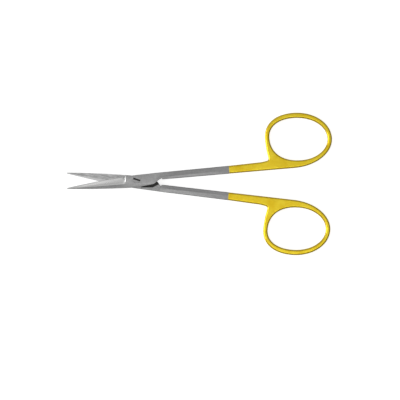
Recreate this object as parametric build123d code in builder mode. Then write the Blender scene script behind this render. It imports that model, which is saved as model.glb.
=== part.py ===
"""Fine straight surgical scissors, sharp/sharp, with plated finger rings and carbide cutting edges.

Two forged halves, one turned over on the other, cross at a slotted joint screw. Each half is made
in its own plane: x runs from the blade tip to the finger ring, y points to the ring's side, and the
plane itself is the sliding face between the halves. The origin of the whole pair is on the screw's
axis, at the flat underside of the joint. +X points to the rings and +Z is up.
"""

from build123d import *
from math import cos, radians, sin, sqrt, tan
import os

# Whole pair (millimetres and degrees)
rest_opening = 11.5  # angle between the halves as the pair lies
screw_offset = 0.94  # the screw stands this far beside the line on which the halves close
plate_thickness = 1.6  # one half at the joint
sliding_gap = 0.03  # between the two sliding faces
closed_gap = 0.05  # each handle stops this far short of the closing line
shoulder_clearance = 0.12  # around the other half's plate, closed

# Blade, measured from the joint's cross line
blade_length = 30.6
run_out = 4.5  # where the ground face ends on the joint plate
edge_at_root = 2.75  # cutting edge's distance from the closing line
edge_bow = 0.16  # how far the cutting edge curves out between root and tip
tip_edge = -0.04  # cutting side of the tip
tip_spine = 0.5  # spine side of the tip
spine_bow = 0.28  # how far the spine curves out between root and tip
edge_thickness = 0.55  # blade left behind the cutting edge, at the root
tip_thickness = 0.25
ridge_at_root = 0.6  # ridge between ground face and spine facet, from the closing line
ridge_at_tip = 0.16
ridge_height_at_tip = 0.31
facet_slope = 17.0  # spine facet, down towards the spine
run_out_radius = 1.8  # hollow left by the wheel where the ground face ends

# Joint plate
plate_outer = 2.95  # ring side of the plate at the joint's cross line
spine_root = 2.52  # other side of the plate at the same place
plate_heel = (2.24, 2.15)  # the plate's other side narrows through this place
upper_plate = ((7.1, 1.6), (10.0, -0.25))  # corners of the upper half's slanted end
lower_plate = ((8.5, 1.6), (10.3, -0.28))  # and of the lower half's, which is cut steeper
ridge_at_corner = 1.05  # the spine facet's ridge beside the plate's slanted end
ramp_start = 9.0  # the plate's top falls to the shank from here
ramp_end = 15.0
shoulder_start = 2.4  # first place where a half is deeper than its plate
relief_radius = 0.5  # round notch in the inner corner behind the plate
relief_place = 10.6
relief_depth = 0.4

# Shank
shank_start = 11.0
shank_outer = 3.2  # outer edge at shank_start
shank_ridge = 1.37  # the roof's ridge line, from the closing line
shank_ridge_height = 1.34  # half the shank's height on the ridge
shank_edge_height = 1.08  # half its height beside the broken edges
broken_edge = 0.22
plating_start = 40.4  # steel ends here and the plated handle begins
plating_outer = 3.45  # outer edge there
plating_height = 1.15  # half the height there, where the roof has flattened out

# Ring handle
neck_place = 54.6  # where the shank's outer edge turns into the ring
neck_outer = 3.8
neck_radius = 8.0
web_outer = 4.3  # the shank's outer edge meets the ring here
web_lean = 1.0  # this corner stands further out than the ring's nearest place
web_radius = 1.1
ring_reach = 86.2  # from the joint's cross line to the ring's far side
finger_length = 25.25  # the opening for a finger
finger_width = 18.6
finger_crown = 10.95  # its outermost place, from its near side
finger_sole = 13.25  # its place nearest the closing line, from its near side
finger_near_side = 10.65  # its nearest place to the joint, from its lowest side
finger_far_side = 8.65
near_fullness = 0.62  # how square the ring's near corners are; 0.55 is an ellipse
far_fullness = 0.555
ring_wall_near = 1.9
ring_wall_far = 1.9
ring_wall_outer = 2.25
ring_wall_inner = 3.1
ring_sole = 9.95  # the ring leaves the closing line here, from the finger opening's near side
ring_height = 3.2
ring_round = 0.8
swell_start = 50.0  # the handle thickens from here
swell_end = 63.0

# Cutting insert
insert_start = 3.9
insert_width = 1.35  # at its root; it narrows towards the tip
insert_depth = 0.42
insert_tip = 0.35  # the strip stops this far short of the blade's point

# Joint screw
thread_radius = 0.9
shoulder_radius = 1.0
head_radius = 1.55
head_angle = 90.0
running_clearance = 0.03
slot_width = 0.72
slot_depth = 0.45
slot_direction = -18.0

# Places that follow from the sizes above
mid_height = plate_thickness
joint_top = 2 * plate_thickness
face = sliding_gap / 2
half_turn = radians(rest_opening / 2)
beyond = 10.0  # cutters reach this far past the metal
bar_start = max(upper_plate[1][0], lower_plate[1][0]) + shoulder_clearance

finger_right = ring_reach - ring_wall_far
finger_left = finger_right - finger_length
finger_low = closed_gap + ring_wall_inner
finger_high = finger_low + finger_width
ring_round_used = min(ring_round, 0.46 * ring_wall_near, 0.46 * ring_wall_far)


def half_plane(side):
    """The sliding face of one half as the pair lies: side 1 is the upper half, -1 the lower."""
    along = Vector(cos(half_turn), side * sin(half_turn), 0)
    up = Vector(0, 0, side)
    to_ring = up.cross(along)
    origin = Vector(0, 0, mid_height) - to_ring * (side * screw_offset)
    return Plane(origin=origin, x_dir=along, z_dir=up)


def cross_plane(half, x):
    """A plane across the half at x: sketch x is the half's y, sketch y is its height."""
    return Plane(origin=half.from_local_coords(Vector(x, 0, 0)), x_dir=half.y_dir, z_dir=half.x_dir)


def side_plane(half):
    """A plane along the half: sketch x is the half's x, sketch y is its height."""
    return Plane(origin=half.origin, x_dir=half.x_dir, z_dir=-half.y_dir)


def ground_plane(half):
    """The plane of the blade's ground face, with its origin where the cutting edge starts."""
    edge_root = Vector(-run_out, edge_at_root, edge_thickness)
    edge_tip = Vector(-blade_length, tip_edge, tip_thickness)
    ridge_root = Vector(-run_out, -ridge_at_root, plate_thickness)
    along = edge_root - edge_tip
    normal = along.cross(edge_root - ridge_root)
    if normal.Z < 0:
        normal = normal * -1
    zero = half.from_local_coords(Vector(0, 0, 0))
    return Plane(
        origin=half.from_local_coords(edge_root),
        x_dir=half.from_local_coords(along) - zero,
        z_dir=half.from_local_coords(normal) - zero,
    )


def blade_and_plate(half, plate):
    """The blade and the joint plate of one half, ground, without screw hole or insert."""
    corner, end = plate
    edge_middle = -(blade_length + run_out) / 2
    spine_middle = -blade_length / 2
    facet = tan(radians(facet_slope))
    facet_stations = (
        (-blade_length - 1.0, ridge_at_tip, ridge_height_at_tip),
        (-run_out, ridge_at_root, plate_thickness),
        (end[0], ridge_at_corner, plate_thickness),
    )
    with BuildPart() as blade:
        with BuildSketch(half.offset(face)):
            with BuildLine():
                ThreePointArc(
                    (-blade_length, tip_edge),
                    (edge_middle, (tip_edge + edge_at_root) / 2 + edge_bow),
                    (-run_out, edge_at_root),
                )
                Polyline(
                    (-run_out, edge_at_root),
                    (0, plate_outer),
                    (shank_start, shank_outer),
                    (ramp_end, shank_outer),
                    (ramp_end, closed_gap),
                    (shank_start, closed_gap),
                    (end[0], -end[1]),
                    (corner[0], -corner[1]),
                    (plate_heel[0], -plate_heel[1]),
                    (0, -spine_root),
                )
                ThreePointArc(
                    (0, -spine_root),
                    (spine_middle, -(spine_root + tip_spine) / 2 - spine_bow),
                    (-blade_length, -tip_spine),
                )
                Line((-blade_length, -tip_spine), (-blade_length, tip_edge))
            make_face()
        extrude(amount=plate_thickness - face)

        # Ground face, with the hollow that the wheel leaves at its end
        ground = ground_plane(half)
        with BuildSketch(side_plane(ground)):
            with BuildLine():
                Polyline(
                    (0, run_out_radius),
                    (0, beyond),
                    (-blade_length, beyond),
                    (-blade_length, 0),
                    (-run_out_radius, 0),
                )
                RadiusArc((-run_out_radius, 0), (0, run_out_radius), -run_out_radius)
            make_face()
        extrude(amount=beyond, both=True, mode=Mode.SUBTRACT)

        # Spine facet, along the blade's back and on over the joint plate
        for x, ridge, height in facet_stations:
            with BuildSketch(cross_plane(half, x)):
                with BuildLine():
                    Polyline(
                        (-ridge, height),
                        (-ridge, beyond),
                        (-beyond, beyond),
                        (-beyond, height - facet * (beyond - ridge)),
                        close=True,
                    )
                make_face()
        loft(ruled=True, mode=Mode.SUBTRACT)

        # Ramp from the plate's top down to the shank
        with BuildSketch(side_plane(half)):
            with BuildLine():
                Polyline(
                    (ramp_start, plate_thickness),
                    (ramp_end, shank_edge_height),
                    (ramp_end + 1.0, shank_edge_height),
                    (ramp_end + 1.0, plate_thickness + 1.0),
                    (ramp_start, plate_thickness + 1.0),
                    close=True,
                )
            make_face()
        extrude(amount=beyond, both=True, mode=Mode.SUBTRACT)
    return blade.part


def insert_strip(half):
    """The pocket for the carbide strip, open towards the cutting edge and the sliding face."""
    with BuildPart() as strip:
        with BuildSketch(half):
            with BuildLine():
                Polyline(
                    (-insert_start, edge_at_root + 1.0),
                    (-insert_start, edge_at_root - insert_width),
                    (-blade_length + insert_tip, (tip_edge - tip_spine) / 2),
                    (-blade_length + insert_tip, edge_at_root + 1.0),
                    close=True,
                )
            make_face()
        extrude(amount=insert_depth)
    return strip.part


def shank_bar(half):
    """The steel bar from the shoulder to the plating, roofed on both faces."""
    stations = (
        (bar_start, shank_outer, shank_ridge_height, shank_edge_height),
        (ramp_end, shank_outer, shank_ridge_height, shank_edge_height),
        (plating_start, plating_outer, plating_height, plating_height),
    )
    with BuildPart() as bar:
        for x, outer, ridge_height, edge_height in stations:
            side_height = edge_height - broken_edge
            with BuildSketch(cross_plane(half, x)):
                with BuildLine():
                    Polyline(
                        (closed_gap, -side_height),
                        (closed_gap, side_height),
                        (closed_gap + broken_edge, edge_height),
                        (shank_ridge, ridge_height),
                        (outer - broken_edge, edge_height),
                        (outer, side_height),
                        (outer, -side_height),
                        (outer - broken_edge, -edge_height),
                        (shank_ridge, -ridge_height),
                        (closed_gap + broken_edge, -edge_height),
                        close=True,
                    )
                make_face()
        loft(ruled=True)
    return bar.part


def shoulder(half, other_plate):
    """The deep part of a half beside the other half's plate, from the sliding face outwards."""
    (corner_x, corner_y), (end_x, end_y) = other_plate
    slant_x = end_x - corner_x
    slant_y = end_y - corner_y
    slant = sqrt(slant_x**2 + slant_y**2)
    corner_x = corner_x - shoulder_clearance * slant_y / slant
    corner_y = corner_y + shoulder_clearance * slant_x / slant
    inner_x = corner_x + (closed_gap - corner_y) * slant_x / slant_y
    with BuildPart() as block:
        with BuildSketch(half.offset(face)):
            with BuildLine():
                Polyline(
                    (shoulder_start, plate_outer),
                    (shoulder_start, plate_heel[1] + shoulder_clearance),
                    (corner_x, corner_y),
                    (inner_x, closed_gap),
                    (shank_start + 1.0, closed_gap),
                    (shank_start + 1.0, shank_outer),
                    close=True,
                )
            make_face()
        extrude(amount=-(shank_edge_height + face))
    return block.part


def steel_half(half, body, other_plate):
    """Blade, plate and shank in one, with the strip's pocket and the corner relief cut."""
    with BuildPart() as steel:
        add(body)
        add(shank_bar(half))
        add(shoulder(half, other_plate))
        add(insert_strip(half), mode=Mode.SUBTRACT)
        with BuildSketch(half.offset(-beyond)):
            with Locations((relief_place, closed_gap + relief_depth - relief_radius)):
                Circle(relief_radius)
        extrude(amount=2 * beyond, mode=Mode.SUBTRACT)
    return steel.part


def quarter(start, end, fullness, upright):
    """A quarter of a ring's outline between two of its four outermost places."""
    run = ((end[0] - start[0]) * fullness, (end[1] - start[1]) * fullness)
    if upright:
        handles = (start[0], start[1] + run[1]), (end[0] - run[0], end[1])
    else:
        handles = (start[0] + run[0], start[1]), (end[0], end[1] - run[1])
    Bezier(start, *handles, end)


def ring_handle(half):
    """The plated end of a half: the neck of the shank and the finger ring."""
    sole = (finger_left + ring_sole, closed_gap)
    far_side = (ring_reach, finger_low + finger_far_side)
    crown = (finger_left + finger_crown, finger_high + ring_wall_outer)
    near_side = (finger_left - ring_wall_near, finger_low + finger_near_side)
    neck = (neck_place, neck_outer)
    web = (near_side[0] + web_lean, web_outer)
    finger_places = (
        (finger_left + finger_sole, finger_low),
        (finger_right, finger_low + finger_far_side),
        (finger_left + finger_crown, finger_high),
        (finger_left, finger_low + finger_near_side),
    )
    with BuildPart() as handle:
        with BuildSketch(half.offset(-ring_height / 2)) as plan:
            with BuildLine():
                Line((plating_start, closed_gap), sole)
                quarter(sole, far_side, far_fullness, upright=False)
                quarter(far_side, crown, far_fullness, upright=True)
                quarter(crown, near_side, near_fullness, upright=False)
                Bezier(near_side, (near_side[0], (near_side[1] + web_outer) / 2), web)
                Polyline(web, neck, (plating_start, plating_outer))
                Line((plating_start, plating_outer), (plating_start, closed_gap))
            make_face()
            fillet(plan.vertices().sort_by_distance(neck)[0], neck_radius)
            fillet(plan.vertices().sort_by_distance(web)[0], web_radius)
        extrude(amount=ring_height)

        # The neck is thinner than the ring
        with BuildSketch(side_plane(half)):
            for way in (1, -1):
                with BuildLine():
                    Polyline(
                        (swell_start, way * plating_height),
                        (plating_start, way * plating_height),
                        (plating_start, 0),
                        (ring_reach + 1.0, 0),
                        (ring_reach + 1.0, way * ring_height / 2),
                        (swell_end, way * ring_height / 2),
                    )
                    Spline(
                        (swell_start, way * plating_height),
                        (swell_end, way * ring_height / 2),
                        tangents=((1, 0), (1, 0)),
                    )
                make_face()
        extrude(amount=3 * beyond, both=True, mode=Mode.INTERSECT)
        across = Axis(half.origin, half.y_dir)
        rims = handle.edges().filter_by(Axis.Z, reverse=True).filter_by(across, reverse=True)
        fillet(rims, ring_round_used)

        # Finger opening
        with BuildSketch(half.offset(-ring_height)):
            with BuildLine():
                for place in range(4):
                    start = finger_places[place]
                    end = finger_places[(place + 1) % 4]
                    fullness = near_fullness if place > 1 else far_fullness
                    quarter(start, end, fullness, upright=place % 2 == 1)
            make_face()
        extrude(amount=2 * ring_height, mode=Mode.SUBTRACT)
        fillet(handle.edges(Select.LAST).filter_by(Axis.Z, reverse=True), ring_round_used)
    return handle


def finish(piece, name):
    """Names a finished piece and writes it to its own file."""
    piece.part.label = name
    export_step(piece.part, f"parts/{name}.step")


os.makedirs("parts", exist_ok=True)

halves = (("top", 1, upper_plate, lower_plate), ("bottom", -1, lower_plate, upper_plate))
for name, side, plate, other_plate in halves:
    half = half_plane(side)
    body = blade_and_plate(half, plate)

    with BuildPart() as cutting_insert:
        add(body)
        add(insert_strip(half), mode=Mode.INTERSECT)
    finish(cutting_insert, f"{name}_cutting_insert")

    with BuildPart() as blade_and_shank:
        add(steel_half(half, body, other_plate))
        if side > 0:
            with Locations((0, 0, joint_top)):
                CounterSinkHole(
                    radius=shoulder_radius + running_clearance,
                    counter_sink_radius=head_radius + running_clearance,
                    counter_sink_angle=head_angle,
                )
        else:
            Hole(radius=thread_radius)
    finish(blade_and_shank, f"{name}_blade_and_shank")

    finish(ring_handle(half), f"{name}_ring_handle")

# Joint screw: threaded into the lower half, running in the upper half
cone_height = (head_radius - shoulder_radius) / tan(radians(head_angle / 2))
with BuildPart() as joint_screw:
    with BuildSketch(Plane.XZ):
        with BuildLine():
            Polyline(
                (0, 0),
                (thread_radius, 0),
                (thread_radius, mid_height - face),
                (shoulder_radius, mid_height - face),
                (shoulder_radius, joint_top - cone_height),
                (head_radius, joint_top),
                (0, joint_top),
                close=True,
            )
        make_face()
    revolve(axis=Axis.Z)
    with Locations(Location((0, 0, joint_top), (0, 0, slot_direction))):
        Box(2 * beyond, slot_width, 2 * slot_depth, mode=Mode.SUBTRACT)
finish(joint_screw, "joint_screw")
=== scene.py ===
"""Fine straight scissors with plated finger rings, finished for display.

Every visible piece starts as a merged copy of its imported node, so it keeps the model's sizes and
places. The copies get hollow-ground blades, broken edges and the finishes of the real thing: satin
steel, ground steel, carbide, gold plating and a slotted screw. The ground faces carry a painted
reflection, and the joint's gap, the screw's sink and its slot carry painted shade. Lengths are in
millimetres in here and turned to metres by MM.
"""

from math import cos, pi, radians, sin

import bmesh
import bpy
from mathutils import Matrix, Vector


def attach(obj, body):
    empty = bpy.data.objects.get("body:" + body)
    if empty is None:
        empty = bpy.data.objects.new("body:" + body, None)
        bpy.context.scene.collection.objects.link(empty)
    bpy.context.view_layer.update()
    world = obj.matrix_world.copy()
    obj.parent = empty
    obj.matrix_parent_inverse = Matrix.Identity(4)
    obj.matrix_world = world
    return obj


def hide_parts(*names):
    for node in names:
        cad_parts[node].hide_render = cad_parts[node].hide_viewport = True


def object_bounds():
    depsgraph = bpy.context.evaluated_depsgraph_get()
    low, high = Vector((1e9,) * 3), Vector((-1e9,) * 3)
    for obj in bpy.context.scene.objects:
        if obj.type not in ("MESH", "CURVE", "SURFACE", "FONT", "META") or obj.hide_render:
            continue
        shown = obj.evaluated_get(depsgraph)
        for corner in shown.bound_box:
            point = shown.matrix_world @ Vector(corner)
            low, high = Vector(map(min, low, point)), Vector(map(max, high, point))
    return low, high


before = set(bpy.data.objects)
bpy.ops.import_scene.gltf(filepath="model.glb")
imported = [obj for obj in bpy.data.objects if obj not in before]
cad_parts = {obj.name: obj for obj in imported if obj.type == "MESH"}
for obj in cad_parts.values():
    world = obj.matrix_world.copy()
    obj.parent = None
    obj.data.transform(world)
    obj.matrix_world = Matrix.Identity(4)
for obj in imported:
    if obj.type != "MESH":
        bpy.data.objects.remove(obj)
model_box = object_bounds()

MM = 0.001

# Sizes taken over from the model
REST_OPENING = 11.5  # angle between the halves as the pair lies, degrees
SCREW_OFFSET = 0.94  # the screw's distance from each half's closing line
PLATE_THICKNESS = 1.6
RUN_OUT = -4.5  # the ground face ends here, along the half
RUN_OUT_RADIUS = 1.8
TIP = -30.6
EDGE_ROOT = (2.75, 0.55)  # cutting edge at the run-out: across, height
EDGE_TIP = (-0.04, 0.25)
RIDGE_ROOT = (-0.6, 1.6)

PLATE_END = 8.0  # along the half, where the plate gives way to the shank
SHANK_START = 15.0
SHANK_RIDGE = 1.37
PLATING_START = 40.4

# Merging the copies (angles in degrees)
WELD_DISTANCE = 0.0008
FLAT_ANGLE = 0.2  # faces closer than this are one flat face
SMOOTH_ANGLE = 32.0  # edges sharper than this stay crisp
FLAT_WEIGHT = 90  # how far the large faces rule the shading, 50 being even

# Broken edges: how wide the round on each kind of piece is
BREAK_ANGLE = 24.0  # edges sharper than this are broken
BREAK_SEGMENTS = 2
STEEL_BREAK = 0.05
STRIP_BREAK = 0.018
SCREW_BREAK = 0.035

# Where the finishes of a half end, along it
LAPPED_END = RUN_OUT  # the sliding face is lapped from here to the tip
SHADE_PAINT_START = 2.3  # painted shade covers the joint's sliding face between these two
SHADE_PAINT_END = 10.8
WALL_START = 2.0  # painted shade covers the shoulder's wall from here to the end of the joint's painted shade
SINK_REACH = 2.0  # the screw head's sink lies within this distance of the joint's top
RUN_OUT_LEAD = 0.3  # the run-out's round is looked for this far beyond its own radius

# Which way a face looks, as shares of its normal
LEVEL = 0.99  # at least this much along z: a level face
UPRIGHT = 0.1  # at most this much along z: an upright wall
RISING = 0.3  # at least this much along z: the ground face or the screw's sink
SINK_FLATTEST = 0.9
RUN_OUT_TURN = 0.05  # the run-out's round looks towards the tip by at least this
RUN_OUT_SIDE = 0.6  # and sideways by at most this
RUN_OUT_RISE = 0.02
WALL_TURN = 0.4  # the shoulder's wall looks away from the ring's side by at least this
SLIDING_DEPTH = 0.1  # a level face this close to the sliding plane is part of it

# The screw's slot, by the same shares
SLOT_START = 0.1  # faces this far below the head's top lie in the slot
SLOT_WALL_CORNERS = 9  # its walls have fewer corners than this
SLOT_WALL_UPRIGHT = 0.05
SLOT_FLOOR_LEVEL = 0.9

# Hollow grinding (angles in degrees)
GROUND_ANGLE = 1.5  # faces this close to the ground face's direction belong to it
HOLLOWED_ANGLE = 12.0  # the same once the face has been sunk
HOLLOW_DEPTH = 0.09
TIP_NARROWING = 0.93  # share of its width that the ground face loses towards the tip
NARROWEST = 0.05  # and the least share left, so that nothing is divided by zero
TIP_WIDTH = 0.12  # width of the ground face at the tip, and so of the net
HOLLOW_LEAD = 0.6  # below 1, the deepest place moves from mid-blade to the run-out
HOLLOW_FULLNESS = 0.7  # below 1, the depth holds for longer along the blade
HOLLOW_STATIONS = 36  # parts of the net along the blade
HOLLOW_LINES = 10  # and across it
CUT_DISTANCE = 1e-8


# ---------------------------------------------------------------- pieces


def half_frame(side):
    """World to half: x towards the ring, y to the ring's side, z from the sliding face, in mm."""
    turn = radians(REST_OPENING / 2)
    along = Vector((cos(turn), side * sin(turn), 0))
    up = Vector((0, 0, side))
    across = up.cross(along)
    origin = Vector((0, 0, PLATE_THICKNESS)) - across * (side * SCREW_OFFSET)
    turned = Matrix((along, across, up)).to_4x4()
    return turned @ Matrix.Translation(-origin) @ Matrix.Scale(1 / MM, 4)


def joined_copy(node):
    """A bmesh of the node's shape with its loose triangles joined into whole faces."""
    form = bmesh.new()
    form.from_mesh(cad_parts[node].data)
    bmesh.ops.remove_doubles(form, verts=form.verts, dist=WELD_DISTANCE * MM)
    bmesh.ops.dissolve_limit(
        form, angle_limit=radians(FLAT_ANGLE), verts=form.verts, edges=form.edges
    )
    return form


def cut_across(form, to_half, x):
    """Divides the faces of a half along the plane x, so that a finish can end there."""
    to_world = to_half.inverted()
    bmesh.ops.bisect_plane(
        form,
        geom=list(form.verts) + list(form.edges) + list(form.faces),
        dist=CUT_DISTANCE,
        plane_co=to_world @ Vector((x, 0, 0)),
        plane_no=(to_world.to_3x3() @ Vector((1, 0, 0))).normalized(),
    )


def ground_normal():
    """Direction that the blade's ground face looks in, in the half's own frame."""
    root = Vector((RUN_OUT, *EDGE_ROOT))
    tip = Vector((TIP, *EDGE_TIP))
    ridge = Vector((RUN_OUT, *RIDGE_ROOT))
    normal = (tip - root).cross(ridge - root).normalized()
    return normal if normal.z > 0 else -normal


def ground_faces(form, to_half):
    """Faces that the wheel has ground, from the run-out to the tip."""
    turned = to_half.to_3x3().normalized()
    normal = ground_normal()
    found = []
    for f in form.faces:
        place = to_half @ f.calc_center_median()
        if (turned @ f.normal).dot(normal) > cos(radians(GROUND_ANGLE)) and place.x < RUN_OUT:
            found.append(f)
    return found


def hollow_grind(form, to_half):
    """Cuts the ground face into a net and sinks it into the hollow that a wheel leaves."""
    to_world = to_half.inverted()
    normal = ground_normal()
    along = Vector((TIP - RUN_OUT, EDGE_TIP[0] - EDGE_ROOT[0], EDGE_TIP[1] - EDGE_ROOT[1]))
    length = along.length
    along.normalize()
    down = normal.cross(along).normalized()
    root = Vector((RUN_OUT, *EDGE_ROOT))
    if down.y > 0:
        down = -down
    width = (Vector((RUN_OUT, *RIDGE_ROOT)) - root).dot(down)

    def net(plane_place, plane_normal):
        faces = ground_faces(form, to_half)
        edges = {e for f in faces for e in f.edges}
        verts = {v for f in faces for v in f.verts}
        bmesh.ops.bisect_plane(
            form,
            geom=list(verts) + list(edges) + faces,
            dist=CUT_DISTANCE,
            plane_co=to_world @ plane_place,
            plane_no=(to_world.to_3x3() @ plane_normal).normalized(),
        )

    for station in range(1, HOLLOW_STATIONS):
        net(root + along * (length * station / HOLLOW_STATIONS), along)
    for line in range(1, HOLLOW_LINES):
        share = line / HOLLOW_LINES
        tip_place = Vector((TIP, *EDGE_TIP)) - Vector((0, TIP_WIDTH * share, 0))
        root_place = root + down * (width * share)
        run = (tip_place - root_place).normalized()
        net(root_place, normal.cross(run).normalized())

    for v in {v for f in ground_faces(form, to_half) for v in f.verts}:
        place = to_half @ v.co
        share = (place - root).dot(along) / length
        side = (place - root).dot(down) / (width * max(1.0 - TIP_NARROWING * share, NARROWEST))
        run = ((place - root).dot(along) - RUN_OUT_RADIUS) / (length - RUN_OUT_RADIUS)
        run = min(max(run, 0.0), 1.0)
        side = min(max(side, 0.0), 1.0)
        sunk = HOLLOW_DEPTH * sin(pi * side) * sin(pi * run**HOLLOW_LEAD) ** HOLLOW_FULLNESS
        v.co = to_world @ (place - normal * sunk)


def break_edges(form, width):
    """Softens the sharp edges by a small round, as tumbling leaves them, and marks the rounds."""
    worn = form.faces.layers.int.new("round")
    sharp = [
        e
        for e in form.edges
        if e.is_manifold and e.calc_face_angle(0.0) > radians(BREAK_ANGLE)
    ]
    made = bmesh.ops.bevel(
        form,
        geom=sharp,
        offset=width * MM,
        offset_type="OFFSET",
        segments=BREAK_SEGMENTS,
        profile=0.5,
        affect="EDGES",
        clamp_overlap=True,
        miter_outer="ARC",
    )
    for f in made["faces"]:
        f[worn] = 1


def keep_flats_flat(piece):
    """Gives the rounds all of the turning between faces, so that flat faces shine evenly."""
    weigher = piece.modifiers.new("keep_flats_flat", "WEIGHTED_NORMAL")
    weigher.mode = "FACE_AREA"
    weigher.weight = FLAT_WEIGHT
    weigher.keep_sharp = True
    evaluated = piece.evaluated_get(bpy.context.evaluated_depsgraph_get())
    plain = bpy.data.meshes.new_from_object(evaluated)
    piece.modifiers.remove(weigher)
    piece.data = plain


def finished_piece(form, name, side, node, body, finishes):
    """Turns the bmesh into a piece with its own frame stored for the finishes, and hangs it."""
    for f in form.faces:
        f.smooth = True
    mesh = bpy.data.meshes.new(name)
    form.to_mesh(mesh)
    form.free()
    if "custom_normal" in mesh.attributes:
        mesh.attributes.remove(mesh.attributes["custom_normal"])
    for material in finishes:
        mesh.materials.append(material)
    mesh.set_sharp_from_angle(angle=radians(SMOOTH_ANGLE))
    to_half = half_frame(side)
    place = mesh.attributes.new("half_place", "FLOAT_VECTOR", "POINT")
    flat = [c for v in mesh.vertices for c in to_half @ v.co]
    place.data.foreach_set("vector", flat)
    worn = mesh.attributes.new("worn", "FLOAT", "CORNER")
    marks = mesh.attributes.get("round")
    if marks:
        rounds = [0] * len(mesh.polygons)
        marks.data.foreach_get("value", rounds)
        values = []
        for polygon in mesh.polygons:
            values += [float(rounds[polygon.index])] * polygon.loop_total
        worn.data.foreach_set("value", values)
        mesh.attributes.remove(mesh.attributes["round"])
    piece = bpy.data.objects.new(name, mesh)
    bpy.context.scene.collection.objects.link(piece)
    keep_flats_flat(piece)
    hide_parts(node)
    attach(piece, body)


# ---------------------------------------------------------------- finishes


def group(name, inputs, outputs):
    """An empty shader node group with its sockets."""
    tree = bpy.data.node_groups.new(name, "ShaderNodeTree")
    kinds = {"vector": "NodeSocketVector", "number": "NodeSocketFloat"}
    for label, kind, default in inputs:
        socket = tree.interface.new_socket(name=label, in_out="INPUT", socket_type=kinds[kind])
        if default is not None:
            socket.default_value = default
    for label, kind in outputs:
        tree.interface.new_socket(name=label, in_out="OUTPUT", socket_type=kinds[kind])
    enter = tree.nodes.new("NodeGroupInput")
    leave = tree.nodes.new("NodeGroupOutput")
    return tree, enter, leave


def wire(tree, source, target):
    tree.links.new(source, target)


def math_node(tree, operation, first, second=None, third=None):
    """A Math node whose inputs are sockets or numbers; returns its output."""
    node = tree.nodes.new("ShaderNodeMath")
    node.operation = operation
    for number, value in enumerate((first, second, third)):
        if value is None:
            continue
        if isinstance(value, (int, float)):
            node.inputs[number].default_value = value
        else:
            wire(tree, value, node.inputs[number])
    return node.outputs[0]


def noise(tree, vector, scale, detail=3.0, roughness=0.55):
    node = tree.nodes.new("ShaderNodeTexNoise")
    node.inputs["Scale"].default_value = scale
    node.inputs["Detail"].default_value = detail
    node.inputs["Roughness"].default_value = roughness
    wire(tree, vector, node.inputs["Vector"])
    return node.outputs["Fac"]


def brushed_grain():
    """Fine lines along one direction, as abrasive belts and brushes leave them."""
    tree, enter, leave = group(
        "brushed_grain",
        (("Place", "vector", None), ("Stretch", "vector", (1.0, 1.0, 1.0)), ("Depth", "number", 1.0)),
        (("Height", "number"), ("Tone", "number")),
    )
    stretched = tree.nodes.new("ShaderNodeVectorMath")
    stretched.operation = "MULTIPLY"
    wire(tree, enter.outputs["Place"], stretched.inputs[0])
    wire(tree, enter.outputs["Stretch"], stretched.inputs[1])
    fine = noise(tree, stretched.outputs[0], 9.0, 4.0, 0.65)
    broad = noise(tree, stretched.outputs[0], 2.2, 2.0)
    height = math_node(tree, "MULTIPLY", fine, enter.outputs["Depth"])
    wire(tree, height, leave.inputs["Height"])
    mixed = math_node(tree, "MULTIPLY_ADD", fine, 0.45, math_node(tree, "MULTIPLY", broad, 0.55))
    wire(tree, mixed, leave.inputs["Tone"])
    return tree


def blasted_grain():
    """Even pits of a bead-blasted surface."""
    tree, enter, leave = group(
        "blasted_grain",
        (("Place", "vector", None), ("Pit Size", "number", 0.1), ("Depth", "number", 1.0)),
        (("Height", "number"), ("Tone", "number")),
    )
    node = tree.nodes.new("ShaderNodeTexVoronoi")
    node.feature = "SMOOTH_F1"
    wire(tree, enter.outputs["Place"], node.inputs["Vector"])
    density = math_node(tree, "DIVIDE", 1.0, enter.outputs["Pit Size"])
    wire(tree, density, node.inputs["Scale"])
    wire(
        tree,
        math_node(tree, "MULTIPLY", node.outputs["Distance"], enter.outputs["Depth"]),
        leave.inputs["Height"],
    )
    wire(tree, noise(tree, enter.outputs["Place"], 3.5, 5.0, 0.75), leave.inputs["Tone"])
    return tree


def edge_wear():
    """How far a surface is rubbed bright: on the rounds of the edges, in patches."""
    tree, enter, leave = group(
        "edge_wear",
        (("Place", "vector", None), ("Patch Size", "number", 1.0), ("Amount", "number", 1.0)),
        (("Mask", "number"),),
    )
    worn = tree.nodes.new("ShaderNodeAttribute")
    worn.attribute_name = "worn"
    scaled = tree.nodes.new("ShaderNodeVectorMath")
    scaled.operation = "SCALE"
    wire(tree, enter.outputs["Place"], scaled.inputs[0])
    wire(tree, math_node(tree, "DIVIDE", 1.0, enter.outputs["Patch Size"]), scaled.inputs["Scale"])
    patches = noise(tree, scaled.outputs[0], 1.0, 3.0)
    patches = spread(tree, patches, 0.0, 1.0, (0.35, 0.65))
    mask = math_node(tree, "MULTIPLY", worn.outputs["Fac"], patches)
    wire(tree, math_node(tree, "MULTIPLY", mask, enter.outputs["Amount"]), leave.inputs["Mask"])
    return tree


def finish(name):
    """A bare metal with its Principled BSDF and the piece's own place, ready to be wired."""
    material = bpy.data.materials.new(name)
    material.use_nodes = True
    tree = material.node_tree
    shader = tree.nodes["Principled BSDF"]
    shader.inputs["Metallic"].default_value = 1.0
    place = tree.nodes.new("ShaderNodeAttribute")
    place.attribute_name = "half_place"
    return material, tree, shader, place.outputs["Vector"]


def use(tree, made, **values):
    """Places a group in a material with its own values."""
    node = tree.nodes.new("ShaderNodeGroup")
    node.node_tree = made
    for label, value in values.items():
        socket = node.inputs[label.replace("_", " ")]
        if hasattr(value, "links"):
            wire(tree, value, socket)
        else:
            socket.default_value = value
    return node


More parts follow.
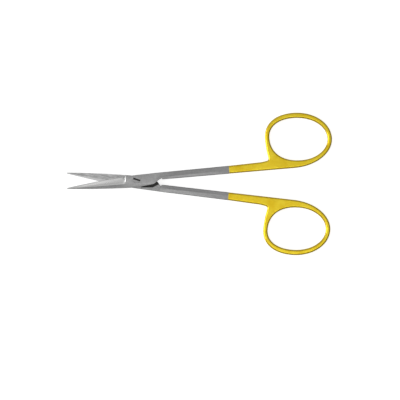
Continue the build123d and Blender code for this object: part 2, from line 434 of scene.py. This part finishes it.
def spread(tree, value, low, high, source=(0.3, 0.7)):
    """Maps a value from its source range, a pattern's usual one if none is given, onto low to high."""
    node = tree.nodes.new("ShaderNodeMapRange")
    node.inputs["From Min"].default_value = source[0]
    node.inputs["From Max"].default_value = source[1]
    node.inputs["To Min"].default_value = low
    node.inputs["To Max"].default_value = high
    wire(tree, value, node.inputs["Value"])
    return node.outputs["Result"]


def blend_colours(tree, share, first, second):
    node = tree.nodes.new("ShaderNodeMix")
    node.data_type = "RGBA"
    for label, value in (("A", first), ("B", second)):
        socket = next(s for s in node.inputs if s.name == label and s.type == "RGBA")
        if hasattr(value, "links"):
            wire(tree, value, socket)
        else:
            socket.default_value = (*value, 1.0)
    wire(tree, share, node.inputs[0])
    return next(s for s in node.outputs if s.type == "RGBA")


def bump(tree, shader, height, distance):
    """Raises the surface by height, up to distance in mm."""
    node = tree.nodes.new("ShaderNodeBump")
    node.inputs["Strength"].default_value = 1.0
    node.inputs["Distance"].default_value = distance * MM
    wire(tree, height, node.inputs["Height"])
    wire(tree, node.outputs["Normal"], shader.inputs["Normal"])


# What each finish gives back of the light, darkest and brightest
SATIN_TONES = ((0.145, 0.145, 0.148), (0.48, 0.48, 0.48))
WORN_STEEL = (0.56, 0.56, 0.555)
# the bright end of the ground steel is a painted reflection
GROUND_AND_SHEEN_TONES = ((0.60, 0.60, 0.60), (0.99, 0.99, 0.98))
LAPPED_TONES = ((0.31, 0.31, 0.31), (0.66, 0.66, 0.66))
# painted shade: near black, for the joint's gap, the screw's sink and its slot
PAINTED_SHADE_TONES = ((0.03, 0.03, 0.03), (0.09, 0.088, 0.085))
CARBIDE_TONES = ((0.60, 0.60, 0.605), (0.76, 0.76, 0.76))
GOLD_TONES = ((0.88, 0.61, 0.024), (0.99, 0.77, 0.055))
WORN_GOLD = (0.97, 0.80, 0.20)
SCREW_TONES = ((0.31, 0.31, 0.315), (0.46, 0.46, 0.46))
SHANK_TONE_SHARE = 0.9  # the shanks' colour is painted this share of the plates'
RIDGE_SHADE = 0.38  # painted shade: how much darker the line along the shank's ridge is painted where it starts
RIDGE_SHADE_END = 0.03  # and where it meets the plating
RIDGE_SHADE_WIDTH = (0.05, 0.32)  # half of its dark core, half of the whole line

GRAIN = brushed_grain()
BLAST = blasted_grain()
WEAR = edge_wear()


def satin_steel():
    """Stainless body: blasted, then brushed along its length, rubbed bright on the edges; the shanks
    painted darker, with a painted shade line along the ridge.
    """
    material, tree, shader, place = finish("satin_steel")
    grain = use(tree, GRAIN, Place=place, Stretch=(0.12, 3.0, 3.0), Depth=1.0)
    blast = use(tree, BLAST, Place=place, Pit_Size=0.12, Depth=0.6)
    wear = use(tree, WEAR, Place=place, Patch_Size=2.5, Amount=0.8)
    tone = math_node(
        tree,
        "ADD",
        math_node(tree, "MULTIPLY", grain.outputs["Tone"], 0.6),
        math_node(tree, "MULTIPLY", blast.outputs["Tone"], 0.4),
    )
    mottle = spread(tree, noise(tree, place, 1.3, 3.0, 0.7), 0.86, 1.14)
    parts = tree.nodes.new("ShaderNodeSeparateXYZ")
    wire(tree, place, parts.inputs[0])
    darker_shanks = spread(tree, parts.outputs["X"], 1.0, SHANK_TONE_SHARE, (PLATE_END, SHANK_START))
    # painted shade: a dark line along the shank's ridge, fading out towards the plating
    off_ridge = math_node(tree, "SUBTRACT", parts.outputs["Y"], SHANK_RIDGE)
    off_ridge = math_node(tree, "ABSOLUTE", off_ridge)
    line = spread(tree, off_ridge, 1.0, 0.0, RIDGE_SHADE_WIDTH)
    begun = spread(tree, parts.outputs["X"], 0.0, 1.0, (PLATE_END, SHANK_START))
    along = (SHANK_START, PLATING_START)
    faded = spread(tree, parts.outputs["X"], RIDGE_SHADE, RIDGE_SHADE_END, along)
    line = math_node(tree, "MULTIPLY", math_node(tree, "MULTIPLY", line, begun), faded)
    light = math_node(tree, "MULTIPLY", math_node(tree, "MULTIPLY", tone, mottle), darker_shanks)
    light = math_node(tree, "MULTIPLY", light, math_node(tree, "SUBTRACT", 1.0, line))
    base = blend_colours(tree, spread(tree, light, 0.0, 1.0, (0.1, 0.7)), *SATIN_TONES)
    colour = blend_colours(tree, wear.outputs["Mask"], base, WORN_STEEL)
    wire(tree, colour, shader.inputs["Base Color"])
    wire(tree, spread(tree, tone, 0.42, 0.34), shader.inputs["Roughness"])
    height = math_node(tree, "ADD", grain.outputs["Height"], blast.outputs["Height"])
    bump(tree, shader, height, 0.012)
    return material


def ground_steel_and_sheen():
    """The wheel's cut, polished along the blade: streaked, with a painted reflection that is brightest
    towards the tip.
    """
    material, tree, shader, place = finish("ground_steel_and_sheen")
    grain = use(tree, GRAIN, Place=place, Stretch=(0.05, 1.0, 1.0), Depth=1.0)
    tone = grain.outputs["Tone"]
    parts = tree.nodes.new("ShaderNodeSeparateXYZ")
    wire(tree, place, parts.inputs[0])
    # painted reflection: the colour brightens from the run-out towards the tip
    painted_sheen = spread(tree, parts.outputs["X"], 0.95, 0.0, (TIP, RUN_OUT))
    bright = math_node(tree, "ADD", painted_sheen, spread(tree, tone, 0.0, 0.45))
    base = blend_colours(tree, bright, *GROUND_AND_SHEEN_TONES)
    wire(tree, base, shader.inputs["Base Color"])
    wire(tree, spread(tree, tone, 0.30, 0.2), shader.inputs["Roughness"])
    bump(tree, shader, grain.outputs["Height"], 0.008)
    return material


def lapped_steel():
    """The sliding face: lapped along the blade, with broad dull and bright streaks."""
    material, tree, shader, place = finish("lapped_steel")
    grain = use(tree, GRAIN, Place=place, Stretch=(0.1, 0.75, 0.75), Depth=1.0)
    tone = grain.outputs["Tone"]
    base = blend_colours(tree, spread(tree, tone, 0.0, 1.0, (0.38, 0.62)), *LAPPED_TONES)
    wire(tree, base, shader.inputs["Base Color"])
    wire(tree, spread(tree, tone, 0.42, 0.32), shader.inputs["Roughness"])
    bump(tree, shader, grain.outputs["Height"], 0.006)
    return material


def painted_joint_shade():
    """Painted shade, near black: the screw's slot and the joint's corners, where shade falls."""
    material, tree, shader, place = finish("painted_joint_shade")
    blast = use(tree, BLAST, Place=place, Pit_Size=0.15, Depth=1.0)
    tone = blast.outputs["Tone"]
    base = blend_colours(tree, spread(tree, tone, 0.0, 1.0), *PAINTED_SHADE_TONES)
    wire(tree, base, shader.inputs["Base Color"])
    wire(tree, spread(tree, tone, 0.62, 0.5), shader.inputs["Roughness"])
    bump(tree, shader, blast.outputs["Height"], 0.015)
    return material


def carbide():
    """Sintered carbide strip: an even light grey, with fine lines across it."""
    material, tree, shader, place = finish("carbide_strip")
    grain = use(tree, GRAIN, Place=place, Stretch=(3.0, 0.5, 0.5), Depth=0.6)
    blast = use(tree, BLAST, Place=place, Pit_Size=0.05, Depth=0.4)
    tone = grain.outputs["Tone"]
    base = blend_colours(tree, spread(tree, tone, 0.0, 1.0), *CARBIDE_TONES)
    wire(tree, base, shader.inputs["Base Color"])
    wire(tree, spread(tree, blast.outputs["Tone"], 0.46, 0.38), shader.inputs["Roughness"])
    height = math_node(tree, "ADD", grain.outputs["Height"], blast.outputs["Height"])
    bump(tree, shader, height, 0.004)
    return material


def gold_plating():
    """Gold over polished steel: deeper and paler in soft clouds, rubbed pale on the rounds."""
    material, tree, shader, place = finish("gold_plating")
    grain = use(tree, GRAIN, Place=place, Stretch=(0.5, 0.9, 0.9), Depth=0.5)
    wear = use(tree, WEAR, Place=place, Patch_Size=3.0, Amount=0.85)
    cloud = noise(tree, place, 0.22, 3.0)
    base = blend_colours(tree, spread(tree, cloud, 0.0, 1.0), *GOLD_TONES)
    colour = blend_colours(tree, wear.outputs["Mask"], base, WORN_GOLD)
    wire(tree, colour, shader.inputs["Base Color"])
    wire(tree, spread(tree, grain.outputs["Tone"], 0.36, 0.28), shader.inputs["Roughness"])
    bump(tree, shader, grain.outputs["Height"], 0.006)
    return material


def screw_steel():
    """Turned screw: fine rings about its axis, lightly blasted over."""
    material, tree, shader, place = finish("screw_steel")
    coordinates = tree.nodes.new("ShaderNodeTexCoord")
    centred = tree.nodes.new("ShaderNodeVectorMath")
    centred.operation = "MULTIPLY"
    centred.inputs[1].default_value = (1 / MM, 1 / MM, 0.0)
    wire(tree, coordinates.outputs["Object"], centred.inputs[0])
    reach = tree.nodes.new("ShaderNodeVectorMath")
    reach.operation = "LENGTH"
    wire(tree, centred.outputs[0], reach.inputs[0])
    rings = noise(tree, reach.outputs["Value"], 14.0, 2.0)
    blast = use(tree, BLAST, Place=place, Pit_Size=0.1, Depth=0.5)
    base = blend_colours(tree, spread(tree, rings, 0.0, 1.0), *SCREW_TONES)
    wire(tree, base, shader.inputs["Base Color"])
    wire(tree, spread(tree, blast.outputs["Tone"], 0.42, 0.34), shader.inputs["Roughness"])
    height = math_node(tree, "ADD", rings, blast.outputs["Height"])
    bump(tree, shader, height, 0.008)
    return material


# ---------------------------------------------------------------- the object

SATIN = satin_steel()
GROUND_AND_SHEEN = ground_steel_and_sheen()
LAPPED = lapped_steel()
PAINTED_SHADE = painted_joint_shade()
CARBIDE = carbide()
GOLD = gold_plating()
SCREW = screw_steel()


def blade_and_shank(half, side, body):
    node = f"{half}_blade_and_shank"
    form = joined_copy(node)
    to_half = half_frame(side)
    joint = to_half @ Vector((0, 0, 2 * PLATE_THICKNESS * MM))
    for x in (LAPPED_END, SHADE_PAINT_START, SHADE_PAINT_END):
        cut_across(form, to_half, x)
    hollow_grind(form, to_half)
    finishes = (SATIN, GROUND_AND_SHEEN, PAINTED_SHADE, LAPPED)
    for f in form.faces:
        place = to_half @ f.calc_center_median()
        normal = to_half.to_3x3().normalized() @ f.normal
        tilt = normal.dot(ground_normal())
        ground = tilt > cos(radians(HOLLOWED_ANGLE)) and place.x < RUN_OUT and normal.z > RISING
        run_out = RUN_OUT - RUN_OUT_RADIUS - RUN_OUT_LEAD < place.x < RUN_OUT + RUN_OUT_RADIUS
        run_out = run_out and normal.x < -RUN_OUT_TURN and abs(normal.y) < RUN_OUT_SIDE
        run_out = run_out and normal.z > RUN_OUT_RISE
        sliding = normal.z < -LEVEL
        beside_plate = sliding and abs(place.z) < SLIDING_DEPTH and SHADE_PAINT_START < place.x < SHADE_PAINT_END
        sink = side > 0 and RISING < normal.z < SINK_FLATTEST and (place - joint).length < SINK_REACH
        wall = place.z < 0 and normal.y < -WALL_TURN and abs(normal.z) < UPRIGHT
        wall = wall and WALL_START < place.x < SHADE_PAINT_END
        # the ground face and the run-out take the ground steel with its painted reflection
        if ground or run_out:
            look = GROUND_AND_SHEEN
        elif sliding and place.x < LAPPED_END:
            look = LAPPED
        # painted shade for the joint's gap beside the plate, the screw's sink and the shoulder's wall
        elif beside_plate or sink or wall:
            look = PAINTED_SHADE
        else:
            look = SATIN
        f.material_index = finishes.index(look)
    break_edges(form, STEEL_BREAK)
    finished_piece(form, f"{half}_steel", side, node, body, finishes)


def cutting_strip(half, side, body):
    node = f"{half}_cutting_insert"
    form = joined_copy(node)
    hollow_grind(form, half_frame(side))
    break_edges(form, STRIP_BREAK)
    finished_piece(form, f"{half}_carbide_edge", side, node, body, (CARBIDE,))


def finger_ring(half, side, body):
    node = f"{half}_ring_handle"
    form = joined_copy(node)
    break_edges(form, STEEL_BREAK)
    finished_piece(form, f"{half}_gold_ring", side, node, body, (GOLD,))


def slotted_screw():
    form = joined_copy("joint_screw")
    top = max(v.co.z for v in form.verts)
    for f in form.faces:
        deep = f.calc_center_median().z < top - SLOT_START * MM
        wall = len(f.verts) < SLOT_WALL_CORNERS and abs(f.normal.z) < SLOT_WALL_UPRIGHT
        # the slot's floor and walls get painted shade
        in_painted_shade = deep and (f.normal.z > SLOT_FLOOR_LEVEL or wall)
        f.material_index = 1 if in_painted_shade else 0
    break_edges(form, SCREW_BREAK)
    finished_piece(
        form, "slotted_joint_screw", -1, "joint_screw", "lower_half", (SCREW, PAINTED_SHADE)
    )


for half, side, body in (("top", 1, "upper_half"), ("bottom", -1, "lower_half")):
    blade_and_shank(half, side, body)
    cutting_strip(half, side, body)
    finger_ring(half, side, body)
slotted_screw()


# ---------------------------------------------------------------- floor, light and camera

FRAME_WIDTH = 174.24  # the camera's view at the object, mm
VIEW_CENTRE = (27.63, -8.52, 1.6)
VIEW_ROLL = 0.8  # degrees
CAMERA_DISTANCE = 1400.0
SENSOR = 36.0
FLOOR_REACH = 3000.0
FLOOR_GREY = 0.72
FLOOR_ROUGHNESS = 0.9
FLOOR_GLOW = 0.75

# The light tent: brightness at each height, given as the sine of the angle above the floor
TENT = ((0.0, 0.12), (0.45, 0.22), (0.72, 0.42), (0.9, 0.8), (1.0, 0.42))
TENT_LEAN = (-1.2, 0.5)  # how much brighter its foot is towards +X and +Y
LIGHTS = (  # name, place, size, brightness
    ("front_box", (40, -180, 690), (300, 240), 1.3),
    ("left_box", (-500, -40, 190), (400, 360), 3.5),
)
BACKDROP = 1.0  # what the camera sees of the tent itself is at least this bright


def seen_by_camera(tree):
    return tree.nodes.new("ShaderNodeLightPath").outputs["Is Camera Ray"]


def floor():
    """A pale sheet that shines softly for the camera, as on a light table."""
    material = bpy.data.materials.new("pale_floor")
    material.use_nodes = True
    tree = material.node_tree
    shader = tree.nodes["Principled BSDF"]
    shader.inputs["Base Color"].default_value = (FLOOR_GREY, FLOOR_GREY, FLOOR_GREY, 1.0)
    shader.inputs["Roughness"].default_value = FLOOR_ROUGHNESS
    shader.inputs["Emission Color"].default_value = (1.0, 1.0, 1.0, 1.0)
    glow = math_node(tree, "MULTIPLY", seen_by_camera(tree), FLOOR_GLOW)
    wire(tree, glow, shader.inputs["Emission Strength"])
    mesh = bpy.data.meshes.new("floor")
    reach = FLOOR_REACH * MM
    low = model_box[0][2]
    mesh.from_pydata(
        [(-reach, -reach, low), (reach, -reach, low), (reach, reach, low), (-reach, reach, low)],
        [],
        [(0, 1, 2, 3)],
    )
    mesh.materials.append(material)
    made = bpy.data.objects.new("floor", mesh)
    bpy.context.scene.collection.objects.link(made)


def soft_light(name, place, size, brightness):
    """A rectangular soft box at place, facing the object's middle, of that surface brightness."""
    light = bpy.data.lights.new(name, "AREA")
    light.shape = "RECTANGLE"
    light.size = size[0] * MM
    light.size_y = size[1] * MM
    light.energy = brightness * pi * light.size * light.size_y
    made = bpy.data.objects.new(name, light)
    made.location = Vector(place) * MM
    aim = Vector(VIEW_CENTRE) * MM - made.location
    made.rotation_euler = aim.to_track_quat("-Z", "Y").to_euler()
    bpy.context.scene.collection.objects.link(made)


def light_tent():
    """White cloth all round: brightest high up, dimmer at the camera's opening and low down."""
    world = bpy.data.worlds.new("light_tent")
    world.use_nodes = True
    tree = world.node_tree
    direction = tree.nodes.new("ShaderNodeTexCoord").outputs["Generated"]
    parts = tree.nodes.new("ShaderNodeSeparateXYZ")
    wire(tree, direction, parts.inputs[0])
    ramp = tree.nodes.new("ShaderNodeValToRGB")
    stops = ramp.color_ramp.elements
    for number, (height, brightness) in enumerate(TENT):
        stop = stops[number] if number < 2 else stops.new(height)
        stop.position = height
        stop.color = (brightness, brightness, brightness, 1.0)
    wire(tree, parts.outputs["Z"], ramp.inputs["Fac"])
    lean_x = math_node(tree, "MULTIPLY", parts.outputs["X"], TENT_LEAN[0])
    lean = math_node(tree, "MULTIPLY_ADD", parts.outputs["Y"], TENT_LEAN[1], lean_x)
    low = math_node(tree, "SUBTRACT", 1.0, parts.outputs["Z"])
    lean = math_node(tree, "MULTIPLY_ADD", lean, low, 1.0)
    strength = math_node(tree, "MULTIPLY", ramp.outputs["Color"], lean)
    backdrop = math_node(tree, "MULTIPLY", seen_by_camera(tree), BACKDROP)
    strength = math_node(tree, "MAXIMUM", strength, backdrop)
    wire(tree, strength, tree.nodes["Background"].inputs["Strength"])
    tree.nodes["Background"].inputs["Color"].default_value = (1.0, 1.0, 1.0, 1.0)
    bpy.context.scene.world = world


def camera():
    lens = bpy.data.cameras.new("camera")
    lens.sensor_width = SENSOR
    lens.lens = SENSOR * CAMERA_DISTANCE / FRAME_WIDTH
    lens.clip_start = 0.01
    lens.clip_end = 20.0
    made = bpy.data.objects.new("camera", lens)
    made.location = (Vector(VIEW_CENTRE) + Vector((0, 0, CAMERA_DISTANCE))) * MM
    made.rotation_euler = (0, 0, radians(VIEW_ROLL))
    bpy.context.scene.collection.objects.link(made)
    bpy.context.scene.camera = made


floor()
light_tent()
for light in LIGHTS:
    soft_light(*light)
camera()
bpy.context.scene.view_settings.view_transform = "Standard"
